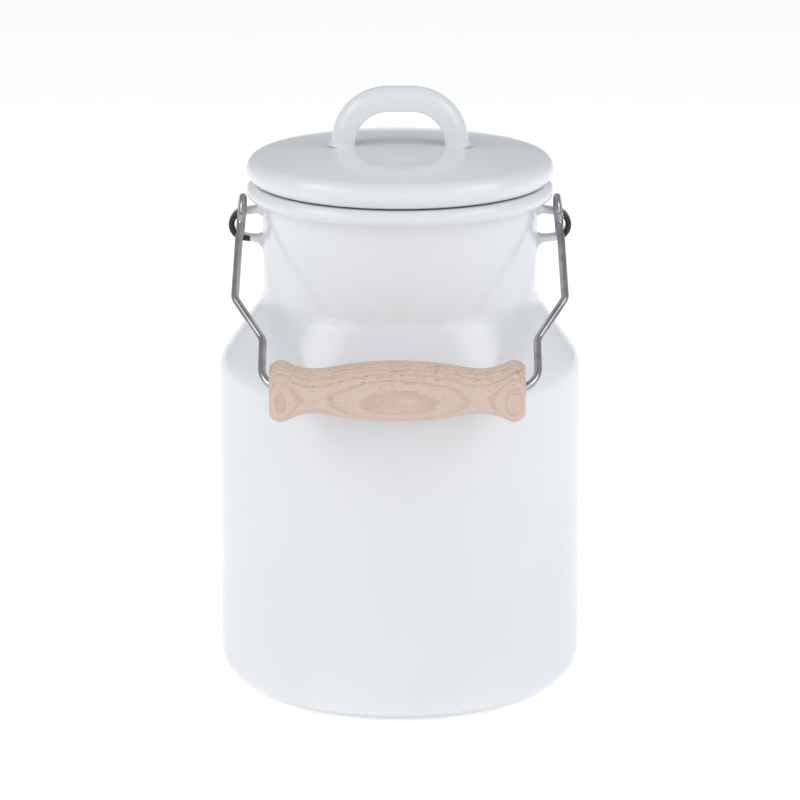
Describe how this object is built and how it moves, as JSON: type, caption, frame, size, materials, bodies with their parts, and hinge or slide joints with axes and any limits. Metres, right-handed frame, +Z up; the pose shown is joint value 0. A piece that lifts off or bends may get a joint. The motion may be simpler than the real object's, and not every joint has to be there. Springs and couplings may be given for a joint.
{
  "type": "milk pail",
  "caption": "Enamelled lidded milk can with a sloping shoulder and narrower neck, an arch handle on its lift-off lid, and a wire bail with a turned grip.",
  "frame": {"origin": "middle of the flat base, on the surface that the can stands on", "axes": "+Z up along the can's axis, X through the two ears, and the bail resting forward towards -Y"},
  "size_m": [0.14, 0.1606, 0.2333],
  "materials": {
    "can_enamel": "glossy white vitreous enamel on steel",
    "lid_enamel": "glossy white vitreous enamel on steel",
    "bail_steel": "drawn bright stainless wire",
    "grip_wood": "turned pale beech, unvarnished"
  },
  "bodies": {
    "can": {"can_shell": "can_enamel", "ear_left": "can_enamel", "ear_right": "can_enamel"},
    "lid": {"lid_cover": "lid_enamel", "lid_collar": "lid_enamel", "lid_handle": "lid_enamel"},
    "bail": {"bail_wire": "bail_steel"},
    "grip": {"grip": "grip_wood"}
  },
  "joints": [
    {"name": "lid_lift", "type": "slide", "parent": "can", "child": "lid", "axis": [0, 0, 1], "range_m": [0, 0.06]},
    {"name": "bail_swing", "type": "hinge", "parent": "can", "child": "bail", "pos_m": [0, 0, 0.1843], "axis": [-1, 0, 0], "range_deg": [0, 245]},
    {"name": "grip_spin", "type": "hinge", "parent": "bail", "child": "grip", "pos_m": [-0.001, -0.07919, 0.13346], "axis": [1, 0, 0], "continuous": true}
  ]
}
